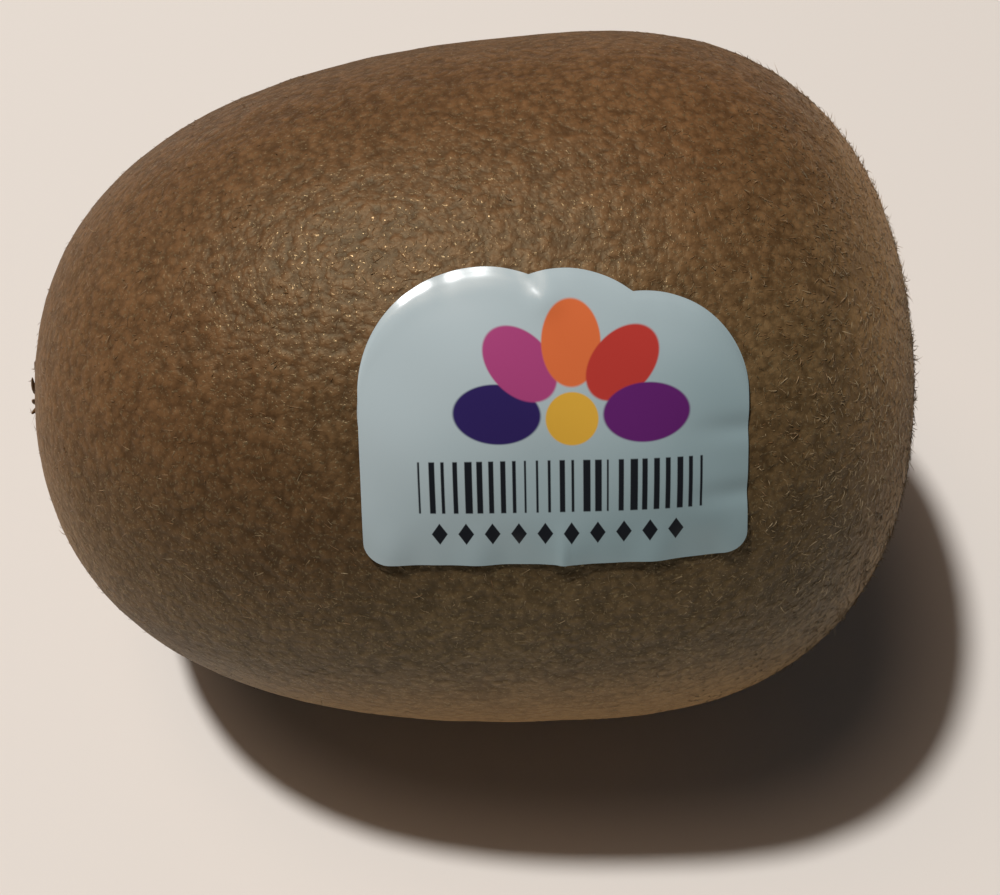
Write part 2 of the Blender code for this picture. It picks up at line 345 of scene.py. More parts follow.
class Finish:
    """A material in the making, on one Principled shader."""

    def __init__(self, name, **constants):
        self.material = bpy.data.materials.new(name)
        self.material.use_nodes = True
        self.nodes = self.material.node_tree.nodes
        self.links = self.material.node_tree.links
        self.shader = self.nodes["Principled BSDF"]
        for socket, value in constants.items():
            self.shader.inputs[socket.replace("_", " ")].default_value = value

    def add(self, kind, settings=(), values=(), output=0):
        """Adds a node: its settings first, then a value or a wire for each named socket."""
        node = self.nodes.new(kind)
        for name, value in dict(settings).items():
            setattr(node, name, value)
        for name, value in dict(values).items():
            self.feed(node.inputs[name], value)
        return Wire(self, node.outputs[output])

    def feed(self, socket, value):
        """Links a wire to a socket, or sets a plain value on it."""
        if isinstance(value, Wire):
            self.links.new(value.socket, socket)
        elif hasattr(socket.default_value, "__len__") and len(socket.default_value) == 4:
            socket.default_value = (*value, 1.0)
        else:
            socket.default_value = value

    def math(self, operation, *values, clamp=False):
        settings = {"operation": operation, "use_clamp": clamp}
        return self.add("ShaderNodeMath", settings, dict(enumerate(values)))

    def vector(self, operation, *values):
        sockets = {"Scale": values[1], 0: values[0]} if operation == "SCALE" else dict(enumerate(values))
        return self.add("ShaderNodeVectorMath", {"operation": operation}, sockets)

    def split(self, vector):
        """The three parts of a vector."""
        parts = self.add("ShaderNodeSeparateXYZ", (), {"Vector": vector})
        return [Wire(self, parts.socket.node.outputs[axis]) for axis in range(3)]

    def blend(self, factor, start, end):
        """A colour between two others."""
        settings = {"data_type": "RGBA"}
        return self.add("ShaderNodeMix", settings, {0: factor, 6: start, 7: end}, output=2)

    def noise(self, place, size, detail=1.0, output=0):
        """Soft spots of about a size: output 0 is one number, and output 1 is three."""
        values = {"Vector": place, "Scale": 1 / size, "Detail": detail}
        return self.add("ShaderNodeTexNoise", (), values, output)

    def step(self, value, low, high):
        """0 below low and 1 above high, with a smooth change between."""
        settings = {"interpolation_type": "SMOOTHSTEP"}
        values = {"Value": value, "From Min": low, "From Max": high}
        return self.add("ShaderNodeMapRange", settings, values)

    def core_place(self):
        """The place on the fruit in its own axes, with X along its core."""
        place = self.add("ShaderNodeTexCoord", output=3)
        spot, turn, _ = CORE.decompose()
        values = {"Vector": place, "Location": spot, "Rotation": turn.to_euler()}
        return self.add("ShaderNodeMapping", {"vector_type": "TEXTURE"}, values)

    def bump(self, height):
        """A normal from a height in metres."""
        return self.add("ShaderNodeBump", (), {"Height": height, "Distance": 1.0, "Strength": 1.0})

    def finish(self, **sockets):
        """Feeds the shader's sockets and gives the material."""
        for name, value in sockets.items():
            self.feed(self.shader.inputs[name.replace("_", " ")], value)
        return self.material


def deselect_all():
    if bpy.context.object and bpy.context.object.mode != "OBJECT":
        bpy.ops.object.mode_set(mode="OBJECT")
    bpy.ops.object.select_all(action="DESELECT")


def only(thing):
    """Makes one object the selected and active one."""
    deselect_all()
    thing.select_set(True)
    bpy.context.view_layer.objects.active = thing


def apply_modifier(thing, kind, **settings):
    modifier = thing.modifiers.new(kind.lower(), kind)
    for name, value in settings.items():
        setattr(modifier, name, value)
    only(thing)
    bpy.ops.object.modifier_apply(modifier=modifier.name)


def apply_place(thing):
    only(thing)
    bpy.ops.object.transform_apply(location=True, rotation=True, scale=True)


def points_of(mesh):
    points = np.empty(len(mesh.vertices) * 3)
    mesh.vertices.foreach_get("co", points)
    return points.reshape(-1, 3)


def set_points(mesh, points):
    mesh.vertices.foreach_set("co", points.ravel())
    mesh.update()


def wear(piece, finish, replaced=()):
    """Gives a finished piece its material and its place in the frame."""
    piece.data.materials.clear()
    piece.data.materials.append(finish)
    for node in replaced:
        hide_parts(node)
    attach(piece, "root")


def to_core(points):
    """Points in the fruit's own axes."""
    inverse = np.array(CORE.inverted())
    return points @ inverse[:3, :3].T + inverse[:3, 3]


def from_core(points):
    """Points in the fruit's own axes, laid down with it."""
    laid = np.array(CORE)
    return points @ laid[:3, :3].T + laid[:3, 3]


def directions_from_core(ways):
    return ways @ np.array(CORE)[:3, :3].T


def unit(ways):
    return ways / np.maximum(np.linalg.norm(ways, axis=1, keepdims=True), 1e-12)


def ramp(value, start, span):
    """0 before a start and 1 from a span after it on, with a smooth change between."""
    share = np.clip((value - start) / span, 0.0, 1.0)
    return share * share * (3 - 2 * share)


def hump(value, middle, width):
    """1 in the middle and nearly 0 two widths away from it."""
    return np.exp(-((value - middle) / width) ** 2)


def skin_at(x, angle):
    """Points of the smooth skin in the fruit's own axes, at places along the core and angles up from -Y."""
    stem = x > 0
    fullness = np.where(stem, STEM_FULLNESS, BLOSSOM_FULLNESS)
    reach = np.where(stem, STEM_REACH, BLOSSOM_REACH)
    share = np.abs(x / reach)
    round_share = (1 - share ** fullness) ** (1 / fullness)
    y = -HALF_WIDTH * round_share * np.cos(angle)
    z = HALF_HEIGHT * round_share * np.sin(angle)
    points = np.stack((x, y, z), 1)
    slope = round_share ** (fullness - 2)
    along = np.sign(x) * share ** (fullness - 1) / reach
    normals = unit(np.stack((along, slope * y / HALF_WIDTH ** 2, slope * z / HALF_HEIGHT ** 2), 1))
    swell = sum(height * np.sin(points @ np.array(wave) + phase) for wave, phase, height in SWELL_WAVES)
    return points * (1 + swell[:, None]), normals


def label_top(along):
    """Height of the label's upper edge: the highest of the lobes that reach there."""
    tops = []
    for at, up, radius in LABEL_LOBES:
        rise = np.sqrt(np.maximum(radius ** 2 - (along - at) ** 2, 0.0))
        reached = abs(along - at) <= radius + TINY
        tops.append(np.where(reached, up + rise, -np.inf))
    return np.max(tops, axis=0)


def label_bottom(along):
    """Height of the label's lower edge, which rounds up into the sides."""
    inset = np.clip(LABEL_CORNER - np.minimum(along - LABEL_LEFT, LABEL_RIGHT - along), 0.0, LABEL_CORNER)
    return LABEL_CORNER - np.sqrt(LABEL_CORNER ** 2 - inset ** 2)


def flat_on_label(points):
    """Where points near the skin lie on the flat label: along and up."""
    own = to_core(points)
    arc = (np.arctan2(own[:, 2] / HALF_HEIGHT, -own[:, 1] / HALF_WIDTH) - LABEL_ANGLE) * LABEL_ROUND
    x = own[:, 0] - LABEL_ALONG
    along = x * math.cos(LABEL_TILT) + arc * math.sin(LABEL_TILT)
    up = arc * math.cos(LABEL_TILT) - x * math.sin(LABEL_TILT)
    return along, up


def below_label(points, margin):
    """Which points lie under the label or within a margin of it."""
    along, up = flat_on_label(points)
    inside = (along > LABEL_LEFT - margin) & (along < LABEL_RIGHT + margin)
    along = np.clip(along, LABEL_LEFT, LABEL_RIGHT)
    return inside & (up > label_bottom(along) - margin) & (up < label_top(along) + margin)


def skin_finish(looks):
    """Brown and pebbly: redder above, olive below, with a painted-light pale underside, painted shade, a
    corky scar and dark remains.
    """
    made = Finish("fuzzy_skin", Sheen_Weight=0.12, Sheen_Roughness=0.5, Sheen_Tint=(1.0, 0.60, 0.30, 1.0),
                  Specular_IOR_Level=0.29, Specular_Tint=(1.0, 0.98, 0.66, 1.0))
    place = made.core_place()
    x, y, z = made.split(place)
    pebbles = made.noise(place, looks.grain)
    grit = made.noise(place, looks.grain * GRIT_SIZE)
    mottles = made.noise(place, looks.mottling, detail=2.0)
    patches = made.noise(place, looks.mottling * PATCH_SIZE)
    clumps = made.noise(place, looks.grain * CLUMP_SIZE)
    flecks = made.step(made.noise(place, FLECK_SIZE), *FLECK_RANGE)
    stir = made.noise(place, looks.grain, detail=2.0, output=1)
    stirred = made.vector("ADD", place, made.vector("SCALE", stir, looks.grain * LUMP_STIR))
    cells = {"Vector": stirred, "Scale": 1 / (looks.grain * LUMP_SIZE)}
    off_middle = made.add("ShaderNodeTexVoronoi", {"feature": "F1"}, cells)
    lumps = 1 - made.step(off_middle, *LUMP_RANGE)
    pattern = (pebbles * PEBBLE_TONE + clumps * CLUMP_TONE + grit * GRIT_TONE + mottles * MOTTLE_TONE
               + lumps * LUMP_TONE)
    tone = made.step(pattern, *TONE_RANGE)
    tilted = y * (OLIVE_TILT[0] / HALF_WIDTH) + z * (OLIVE_TILT[1] / HALF_HEIGHT)
    lower = 1 - made.step(tilted - x * OLIVE_STEM + (patches - 0.5) * OLIVE_DRIFT, OLIVE_LOW, OLIVE_HIGH)
    brown = made.blend(tone, looks.dark, looks.light)
    olive = made.blend(tone, looks.olive_dark, looks.olive_light)
    skin = made.blend(lower, brown, olive)
    # Painted shade: a darker band across the lower middle, where the lamp's light fades
    painted_shade_band = made.step(tilted, *SHADE_BAND_BELOW) * (1 - made.step(tilted, *SHADE_BAND_ABOVE))
    # Painted light: the underside is brighter and paler, as if lit from the floor
    painted_light_belly = 1 - made.step(tilted, *PAINTED_LIGHT_BELLY)
    # Painted light: the stem end is brighter and paler towards its rim
    painted_light_stem_side = made.step(x, *PAINTED_LIGHT_STEM_SIDE)
    # Painted shade: the skin is darker towards the blossom end
    painted_shade_blossom_side = 1 - made.step(x, *PAINTED_SHADE_BLOSSOM_SIDE)
    # Painted light: a little pale colour at the blossom end's rim
    painted_light_blossom_rim = 1 - made.step(x, *PAINTED_LIGHT_BLOSSOM_RIM)
    # Painted shade: the far side of the skin is darker
    painted_shade_far_side = made.step(y, *PAINTED_SHADE_FAR_SIDE)
    # Painted light and shade: each zone's brightness, its share of the painted pale colour, and its dullness
    painted_light_and_shade = (1 - 0.36 * painted_shade_band + 0.7 * painted_light_belly + 0.75 * painted_light_stem_side) * (1 - 0.13 * painted_shade_blossom_side - 0.14 * painted_shade_far_side)
    pale = painted_light_belly * 0.45 + painted_light_stem_side * 0.5 + painted_light_blossom_rim * 0.05
    dull = 0.3 * painted_shade_far_side + 0.15 * painted_light_stem_side + 0.2 * painted_light_belly + 0.12 * painted_light_blossom_rim
    # Painted light and shade: the zones' brightness, then the painted pale colour blended in
    skin = made.blend(pale, made.vector("SCALE", skin, painted_light_and_shade), looks.painted_light_underside)
    skin = made.blend(flecks * 0.25, skin, looks.glint)
    away = made.math("SQRT", y * y + z * z)
    scar = made.step(x, *SCAR_DEPTH) * (1 - made.step(away, SCAR_RADIUS * 0.72, SCAR_RADIUS))
    corky = made.blend(scar, skin, looks.cork)
    end = -BLOSSOM_REACH + REMAINS_DEPTH
    near_end = 1 - made.step(x, end - REMAINS_FADE, end)
    remains = near_end * (1 - made.step(away, REMAINS_RADIUS * 0.55, REMAINS_RADIUS))
    color = made.blend(remains, corky, looks.remains)
    roughness = 0.58 - 0.12 * grit - 0.16 * flecks + 0.2 * scar + 0.2 * remains + dull
    height = (pebbles * PEBBLE_RISE + clumps * CLUMP_RISE + lumps * LUMP_RISE + grit * GRIT_RISE
              + mottles * MOTTLE_RISE + flecks * FLECK_RISE)
    shine = flecks * 0.45 * (1 - scar) * (1 - remains) * (1 - 0.7 * painted_shade_far_side)
    return made.finish(Base_Color=color, Metallic=shine, Roughness=roughness, Normal=made.bump(height))


class KIWI_OT_skin(bpy.types.Operator):
    """Smooths a copy of the fruit's solid into its skin, with a gentle unevenness"""

    bl_idname = "kiwi.skin"
    bl_label = "Skin"

    def execute(self, context):
        looks = context.scene.kiwi_skin
        deselect_all()
        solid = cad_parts["fruit"]
        skin = bpy.data.objects.new("fruit_skin", solid.data.copy())
        context.scene.collection.objects.link(skin)
        only(skin)
        bpy.ops.object.mode_set(mode="EDIT")
        bpy.ops.mesh.select_all(action="SELECT")
        bpy.ops.mesh.remove_doubles(threshold=1e-6)
        bpy.ops.mesh.tris_convert_to_quads()
        bpy.ops.object.mode_set(mode="OBJECT")
        apply_modifier(skin, "SUBSURF", levels=2, render_levels=2)
        swells = bpy.data.textures.new("unevenness", "CLOUDS")
        swells.noise_scale = looks.mottling
        apply_modifier(skin, "DISPLACE", texture=swells, texture_coords="LOCAL", strength=looks.relief,
                       mid_level=0.5)
        points = points_of(skin.data)
        points[:, 2] = np.maximum(points[:, 2], 0.0)
        set_points(skin.data, points)
        bpy.ops.object.shade_smooth()
        wear(skin, skin_finish(looks), ("fruit",))
        return {"FINISHED"}


def hair_pattern(bends):
    """One straight hair, one unit long and wide: a closed spindle with a three-sided ring at each bend."""
    deselect_all()
    first = bends[0]
    bpy.ops.mesh.primitive_cone_add(
        vertices=3, radius1=1.0, radius2=0.0, depth=1 - first, end_fill_type="TRIFAN",
        location=(0.0, 0.0, (1 + first) / 2))
    hair = bpy.context.object
    apply_place(hair)
    bpy.ops.object.mode_set(mode="EDIT")
    for bend in bends[1:]:
        bpy.ops.mesh.select_all(action="SELECT")
        bpy.ops.mesh.bisect(plane_co=(0.0, 0.0, bend), plane_no=(0.0, 0.0, 1.0))
    bpy.ops.mesh.select_all(action="SELECT")
    bpy.ops.mesh.quads_convert_to_tris()
    bpy.ops.mesh.normals_make_consistent(inside=False)
    bpy.ops.object.mode_set(mode="OBJECT")
    points = points_of(hair.data)
    root = (np.abs(points[:, :2]).max(axis=1) < 1e-6) & (points[:, 2] < 0.9)
    points[root, 2] = 0.0
    triangles = np.array([face.vertices[:] for face in hair.data.polygons])
    bpy.data.objects.remove(hair, do_unlink=True)
    return points, triangles


def scatter(mesh, count, draw):
    """Even random places on a mesh, with the smooth normal at each."""
    mesh.calc_loop_triangles()
    corners = np.empty(len(mesh.loop_triangles) * 3, dtype=np.int32)
    mesh.loop_triangles.foreach_get("vertices", corners)
    corners = corners.reshape(-1, 3)
    points = points_of(mesh)
    normals = np.empty(len(mesh.vertices) * 3)
    mesh.vertices.foreach_get("normal", normals)
    normals = normals.reshape(-1, 3)
    a, b, c = (points[corners[:, k]] for k in range(3))
    area = np.linalg.norm(np.cross(b - a, c - a), axis=1)
    chosen = draw.choice(len(corners), count, p=area / area.sum())
    u, v = draw.random(count), draw.random(count)
    folded = u + v > 1
    u[folded], v[folded] = 1 - u[folded], 1 - v[folded]
    weights = np.stack((1 - u - v, u, v), 1)
    three = corners[chosen]
    places = (points[three] * weights[:, :, None]).sum(axis=1)
    ways = unit((normals[three] * weights[:, :, None]).sum(axis=1))
    return places, ways


def bare(places):
    """Which places grow no fuzz: under the label, on the scar, in the dried flower and at the floor."""
    own = to_core(places)
    away = np.hypot(own[:, 1], own[:, 2])
    scar = (own[:, 0] > 0) & (away < SCAR_RADIUS * 0.8)
    flower = (own[:, 0] < -BLOSSOM_REACH + REMAINS_DEPTH) & (away < REMAINS_RADIUS)
    underneath = places[:, 2] < 0.0003
    return below_label(places, ROOT_GAP) | scar | flower | underneath


def drift(places, size, seed):
    """A slowly changing number from -1 to 1 at each place."""
    shift = Vector((seed, seed * 2.0, seed * 3.0))
    return np.array([noise.noise(Vector(place) / size + shift) for place in places])


def shagginess(places):
    """How long and upright the fuzz grows: 0 in the middle and at the blossom end, 1 at the stem end."""
    return ramp(to_core(places)[:, 0], *SHAGGY)


def bristliness(places):
    """How far short hairs may stand up: not from the middle to the stem end, most at the blossom end."""
    return ramp(-to_core(places)[:, 0], *BRISTLY)


def tilted_height(own):
    """Height above the core in shares of the size, tilted away from the label's side."""
    return own[:, 1] * OLIVE_TILT[0] / HALF_WIDTH + own[:, 2] * OLIVE_TILT[1] / HALF_HEIGHT


def olive_share(places):
    """How olive the skin is at each place, as its finish has it."""
    own = to_core(places)
    height = tilted_height(own) - own[:, 0] * OLIVE_STEM
    return 1 - ramp(height, OLIVE_LOW, OLIVE_HIGH - OLIVE_LOW)


def painted_light_paleness(places):
    """How pale the short hairs are: painted shade darkens them on the far side, and painted light pales them
    underneath and at the stem end.
    """
    own = to_core(places)
    far = ramp(own[:, 1], *PAINTED_SHADE_FAR)
    under = 1 - ramp(tilted_height(own), *PAINTED_LIGHT_UNDER)
    stem = ramp(own[:, 0], *PAINTED_LIGHT_STEM)
    return 1 - 0.7 * far + 1.2 * under + 0.5 * stem


def comb(places, normals, turn):
    """The way that hairs lie on the skin: towards the blossom end, turned about the normal."""
    core = directions_from_core(np.array([[-1.0, 0.0, 0.0]]))
    lie = unit(core - normals * (normals @ core.T))
    side = np.cross(normals, lie)
    return lie * np.cos(turn)[:, None] + side * np.sin(turn)[:, None]


def grow(name, pattern, places, normals, lie, length, width, rise, curl, tone, thickness=1.0):
    """Copies a straight hair to each place, bent over along the skin, as one mesh piece."""
    points, triangles = pattern
    share = points[:, 2][None, :, None]
    side = np.cross(normals, lie)
    start = normals * np.sin(rise)[:, None] + lie * np.cos(rise)[:, None]
    end = unit(start + normals * curl[:, :1] + side * curl[:, 1:2])
    halfway = start[:, None, :] * (share - share ** 2 / 2) + end[:, None, :] * share ** 2 / 2
    spine = places[:, None, :] + halfway * length[:, None, None]
    across = unit(np.cross(start, normals + NUDGE))
    other = np.cross(start, across)
    ring = across[:, None, :] * points[None, :, :1] + thickness * other[:, None, :] * points[None, :, 1:2]
    shape = spine + ring * width[:, None, None] / 2
    off_floor = shape[:, :, 2].min(axis=1) > 0
    shape, tone = shape[off_floor], tone[off_floor]
    faces = (triangles[None, :, :] + np.arange(len(shape))[:, None, None] * len(points)).reshape(-1, 3)
    mesh = bpy.data.meshes.new(name)
    mesh.from_pydata(shape.reshape(-1, 3), [], faces)
    mapped = mesh.uv_layers.new(name=BAKE_MAP)
    tones = tone[:, None] + BAKE_WIDTH * points[None, :, 0]
    shares = np.broadcast_to(points[None, :, 2], tones.shape)
    flat = np.stack((tones, BAKE_MARGIN + (1 - 2 * BAKE_MARGIN) * shares), 2).reshape(-1, 2)
    mapped.uv.foreach_set("vector", flat[faces.ravel()].ravel())
    piece = bpy.data.objects.new(name, mesh)
    bpy.context.scene.collection.objects.link(piece)
    mesh.shade_smooth()
    return piece


def fuzz_finish(looks):
    """Dry hairs, each in a tone of its own and paler towards the tip: brown ones first, then olive ones."""
    made = Finish("kiwi_fuzz", Roughness=0.34, Specular_IOR_Level=0.3, Specular_Tint=(1.0, 0.90, 0.50, 1.0))
    mapped = made.add("ShaderNodeUVMap", {"uv_map": BAKE_MAP})
    kind, share, _ = made.split(mapped)
    tone = made.math("FRACT", kind * 2.0)
    paler = made.math("MULTIPLY", tone, 0.75 + 0.5 * share, clamp=True)
    brown = made.blend(paler, looks.dark, looks.light)
    olive = made.blend(paler, looks.olive_dark, looks.olive_light)
    return made.finish(Base_Color=made.blend(made.math("GREATER_THAN", kind, 0.5), brown, olive))


class KIWI_OT_fuzz(bpy.types.Operator):
    """Grows the short fuzz all over the skin, and the longer hairs that stand out of it"""

    bl_idname = "kiwi.fuzz"
    bl_label = "Fuzz"

    SHORT_PIECES = 4
    STRAND_PIECES = 2
    ROOT_DEPTH = 0.00003
    BRISTLE_RISE = 34.0
    BRISTLE_RARITY = 20
    SWIRL_SIZE = 0.004
    SWIRL_TURN = 2.2
    SWIRL_SEED = 5.0

    def execute(self, context):
        looks = context.scene.kiwi_fuzz
        skin = bpy.data.objects["fruit_skin"]
        finish = fuzz_finish(looks)
        draw = np.random.default_rng(11)
        pattern = hair_pattern((0.42,))
        for number in range(self.SHORT_PIECES):
            places, normals = self.roots(skin, looks.short_count // self.SHORT_PIECES, draw)
            piece = self.short_hairs(f"short_fuzz_{number}", pattern, places, normals, looks, draw)
            wear(piece, finish)
        strand = hair_pattern((0.33, 0.66))
        for number in range(self.STRAND_PIECES):
            places, normals = self.roots(skin, looks.strand_count // self.STRAND_PIECES, draw)
            piece = self.strands(f"flat_strands_{number}", strand, places, normals, looks, draw)
            wear(piece, finish)
        places, normals = self.roots(skin, looks.long_count * 4, draw, self.long_hair_chance)
        places, normals = places[:looks.long_count], normals[:looks.long_count]
        wear(self.long_hairs("long_fuzz", places, normals, looks, draw), finish)
        return {"FINISHED"}

    def roots(self, skin, count, draw, chance=None):
        """Random places where the skin grows fuzz, thinned out by a chance, with the normal at each."""
        places, normals = scatter(skin.data, count, draw)
        kept = ~bare(places)
        if chance:
            kept &= draw.random(count) < chance(places)
        return places[kept], normals[kept]

    def long_hair_chance(self, places):
        """How likely a long hair is at each place: nearly nothing but at the stem end."""
        return 0.004 + 0.996 * shagginess(places) ** 6

    def short_hairs(self, name, pattern, places, normals, looks, draw):
        """Hairs that lie nearly flat, more upright at the stem end and, a few, at the blossom end."""
        count = len(places)
        lush = shagginess(places)
        length = looks.short_length * (0.85 + 0.4 * lush) * draw.uniform(0.6, 1.35, count)
        width = looks.width * draw.uniform(0.8, 1.4, count)
        raised = self.BRISTLE_RISE * bristliness(places) * draw.random(count) ** self.BRISTLE_RARITY
        rise = np.radians(draw.uniform(3.0, 10.0, count) + 7.0 * lush + raised)
        curl = np.stack((draw.uniform(-0.6, -0.1, count), draw.normal(0.0, 0.45, count)), 1)
        tone = 0.85 * draw.beta(1.1, 4.0, count) * painted_light_paleness(places)
        return self.plant(name, pattern, places, normals, 0.5, length, width, rise, curl, tone, 0.45, draw)

    def strands(self, name, pattern, places, normals, looks, draw):
        """Flat curved strands that lie on the skin."""
        count = len(places)
        length = looks.strand_length * draw.uniform(0.55, 1.25, count)
        width = looks.width * draw.uniform(1.0, 1.8, count)
        rise = np.radians(draw.uniform(2.0, 5.0, count))
        curl = np.stack((draw.uniform(-0.25, -0.05, count), draw.normal(0.0, 1.2, count)), 1)
        tone = 0.15 + 0.4 * draw.beta(1.6, 2.4, count)
        return self.plant(name, pattern, places, normals, 0.5, length, width, rise, curl, tone, 0.3, draw)

    def long_hairs(self, name, places, normals, looks, draw):
        """Curled hairs that stand out of the fuzz."""
        count = len(places)
        length = looks.long_length * draw.uniform(0.55, 1.25, count)
        width = looks.width * draw.uniform(1.0, 1.5, count)
        rise = np.radians(draw.uniform(8.0, 48.0, count))
        curl = np.stack((draw.uniform(-1.6, -0.2, count), draw.normal(0.0, 0.7, count)), 1)
        tone = 0.42 + 0.55 * draw.beta(1.8, 2.4, count)
        pattern = hair_pattern((0.25, 0.5, 0.75))
        return self.plant(name, pattern, places, normals, 0.8, length, width, rise, curl, tone, 0.6, draw)

    def plant(
            self, name, pattern, places, normals, wander, length, width, rise, curl, tone, thickness, draw):
        """Grows the hairs of one piece, brown or olive as the skin there, where the label leaves room."""
        swirl = self.SWIRL_TURN * drift(places, self.SWIRL_SIZE, self.SWIRL_SEED)
        turn = swirl + draw.normal(0.0, wander, len(places))
        lie = comb(places, normals, turn)
        roots = places - normals * self.ROOT_DEPTH
        olive = draw.random(len(places)) < olive_share(places)
        tone = np.clip(tone, 0.02, 0.98) / 2 + 0.5 * olive
        clear = ~below_label(roots + lie * length[:, None], TIP_GAP)
        values = (roots, normals, lie, length, width, rise, curl, tone)
        return grow(name, pattern, *(value[clear] for value in values), thickness)


def remains_finish(looks):
    """Dried, dark brown and brittle."""
    made = Finish("dried_flower", Specular_IOR_Level=0.4)
    place = made.core_place()
    fibres = made.noise(place, 0.0005, detail=2.0)
    pale = tuple(3.2 * part for part in looks.remains)
    color = made.blend(made.step(fibres, 0.35, 0.7), looks.remains, pale)
    return made.finish(Base_Color=color, Roughness=0.85 - 0.2 * fibres, Normal=made.bump(fibres * 0.00008))


class KIWI_OT_dried_flower(bpy.types.Operator):
    """Adds the thin dried filaments round the styles at the blossom end"""

    bl_idname = "kiwi.dried_flower"
    bl_label = "Dried flower"

    FILAMENTS = 46
    ROOT_DEPTH = 0.0009

    def execute(self, context):
        draw = np.random.default_rng(23)
        count = self.FILAMENTS
        pattern = hair_pattern((0.12, 0.3, 0.5, 0.7, 0.88))
        turn = 2 * np.pi * (np.arange(count) + draw.uniform(-0.5, 0.5, count)) / count
        outward = np.stack((np.zeros(count), np.cos(turn), np.sin(turn)), 1)
        away = draw.uniform(0.0006, 0.0022, count)
        own = outward * away[:, None]
        own[:, 0] = -BLOSSOM_REACH + self.ROOT_DEPTH
        normals = np.tile([[-1.0, 0.0, 0.0]], (count, 1))
        length = draw.uniform(0.0008, 0.0017, count)
        width = draw.uniform(0.00010, 0.00018, count)
        rise = np.radians(draw.uniform(2.0, 12.0, count))
        curl = np.stack((draw.uniform(-1.3, -0.5, count), draw.normal(0.0, 0.7, count)), 1)
        tone = draw.uniform(0.1, 0.9, count)
        piece = grow(
            "dried_filaments", pattern, from_core(own), directions_from_core(normals),
            directions_from_core(outward), length, width, rise, curl, tone)
        wear(piece, remains_finish(context.scene.kiwi_skin))
        return {"FINISHED"}


def petal(made, along, up, at, angle, length, breadth):
    """A leaf shape on the flat label, all in millimetres: 1 inside and 0 outside."""
    dx, dy = along - at[0], up - at[1]
    far = dx * math.cos(angle) + dy * math.sin(angle)
    aside = dy * math.cos(angle) - dx * math.sin(angle)
    middle = far - length / 2
    round_off = made.math("SQRT", (middle / (length / 2)) ** 2.0 + (aside / (breadth / 2)) ** 2.0)
    return 1 - made.step(round_off, 0.96, 1.04)


def between(made, value, low, high):
    """1 between two values and 0 outside them, with soft edges."""
    soft = PRINT_SOFTNESS
    return made.step(value, low - soft, low + soft) * (1 - made.step(value, high - soft, high + soft))


def label_finish(looks):
    """Pale glossy film with a printed flower, plain bars and small marks, which encode nothing."""
    made = Finish("printed_film", Roughness=0.18, Specular_IOR_Level=0.4)
    mapped = made.add("ShaderNodeUVMap", {"uv_map": "flat"})
    u, v, _ = made.split(mapped)
    along = u * (1000 * (LABEL_RIGHT - LABEL_LEFT)) + 1000 * LABEL_LEFT
    up = v * (1000 * LABEL_HEIGHT)
    # Painted shade: the film is darker towards the lower right, in soft spots
    pressed = made.step(along * 0.045 - up * 0.05 + made.noise(mapped, 0.4) * 0.5, -0.8, 0.5)
    color = made.blend(pressed, looks.film, looks.painted_shade_film)
    middle_along, middle_up = FLOWER_MIDDLE
    fan = (looks.indigo, looks.magenta, looks.orange, looks.red, looks.purple)
    for number, ink in enumerate(fan):
        angle = math.radians(176 - 43 * number)
        at = (middle_along + PETAL_START * math.cos(angle), middle_up + PETAL_START * math.sin(angle))
        color = made.blend(petal(made, along, up, at, angle, PETAL_LENGTH, PETAL_BREADTH), color, ink)
    centre = (middle_along - CENTRE_WIDTH / 2, middle_up)
    color = made.blend(petal(made, along, up, centre, 0.0, CENTRE_WIDTH, CENTRE_WIDTH), color, looks.gold)
    cell = along / BAR_PITCH
    inner = made.math("FRACT", cell)
    place = made.math("FLOOR", cell)
    random = made.add("ShaderNodeTexWhiteNoise", {"noise_dimensions": "1D"}, {"W": place})
    bars = between(made, inner, 0.14, 0.30 + 0.52 * random)
    bars = bars * between(made, up, *BARS_UP) * between(made, along, *BARS_ALONG)
    color = made.blend(bars, color, looks.ink)
    spot = (made.math("FRACT", along / MARK_PITCH) - 0.5) * MARK_PITCH
    diamond = abs(spot) * 1.5 + abs(up - MARKS_UP)
    marks = (1 - made.step(diamond, 0.68, 0.78)) * between(made, along, *MARKS_ALONG)
    color = made.blend(marks, color, looks.ink)
    return made.finish(Base_Color=color)


